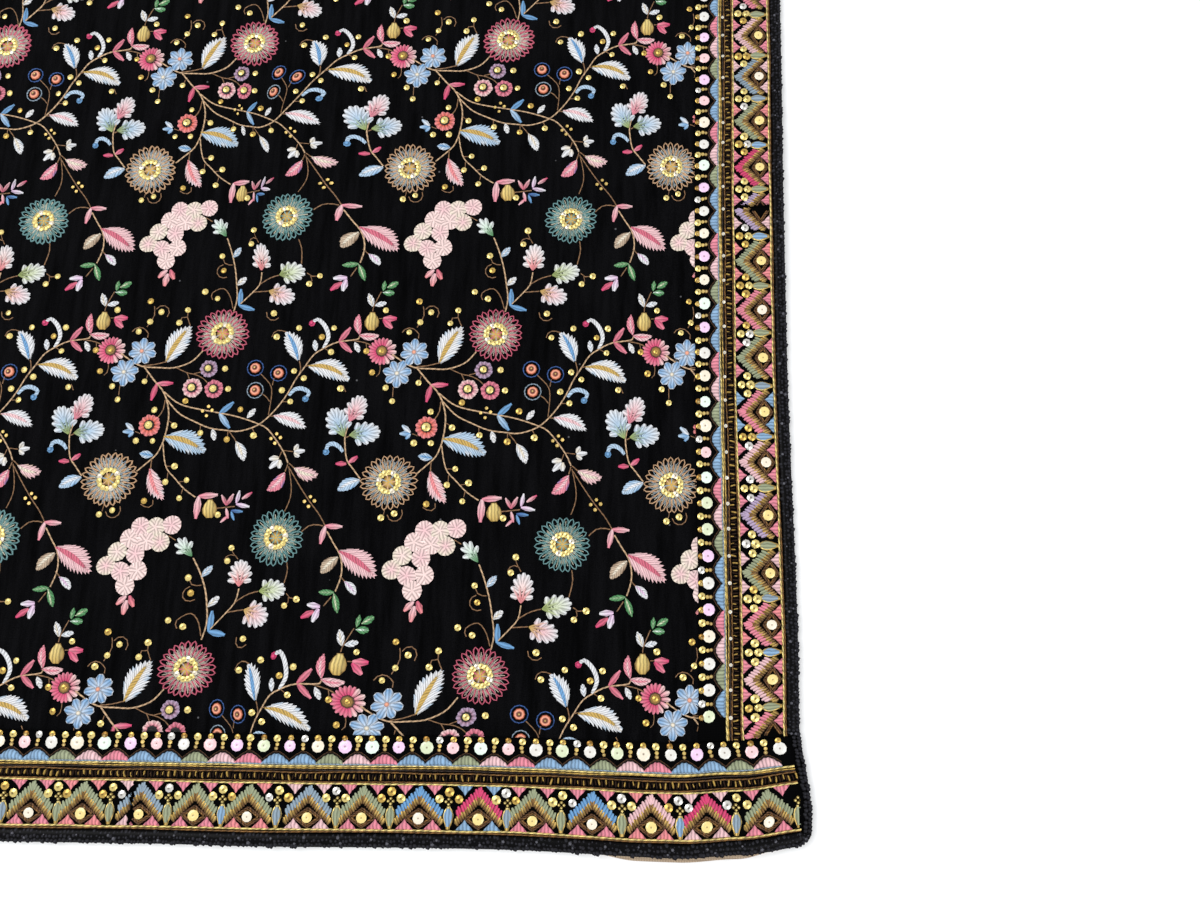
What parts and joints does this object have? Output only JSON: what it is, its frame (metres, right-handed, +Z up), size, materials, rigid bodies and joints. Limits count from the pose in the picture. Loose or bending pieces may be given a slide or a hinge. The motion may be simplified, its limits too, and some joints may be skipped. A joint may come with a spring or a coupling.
{
  "type": "embroidered velvet shawl",
  "caption": "Long rectangular velvet shawl laid flat, with floral embroidery and a sewn ribbon border of chevrons and sequins.",
  "frame": {"origin": "middle of the underside, on the surface that the shawl lies on", "axes": "+X across the shawl, +Y along its length, +Z up out of its face"},
  "size_m": [0.71, 2.0299, 0.0078],
  "materials": {
    "velvet": "short black pile with a faint lengthwise nap",
    "border_ribbon": "black ribbon worked in rayon thread and gilt cord",
    "beaded_edging": "black cord with small glossy beads",
    "backing_tape": "beige woven tape, matte",
    "embroidery_thread": "silky rayon satin stitch in pastel colours",
    "gilt_thread": "twisted metallic thread",
    "gilt_sequins": "small cupped sequins and beads, bright",
    "pearl_sequins": "pearly iridescent cupped sequins"
  },
  "bodies": {
    "root": {"velvet_panel": "velvet", "border_hem_left": "border_ribbon", "border_hem_right": "border_ribbon", "border_side_near": "border_ribbon", "border_side_far": "border_ribbon", "border_top": "border_ribbon", "border_side_left": "border_ribbon", "edging_hem": "beaded_edging", "edging_side_right": "beaded_edging", "edging_top": "beaded_edging", "edging_side_left": "beaded_edging", "backing_tape": "backing_tape"}
  },
  "joints": []
}
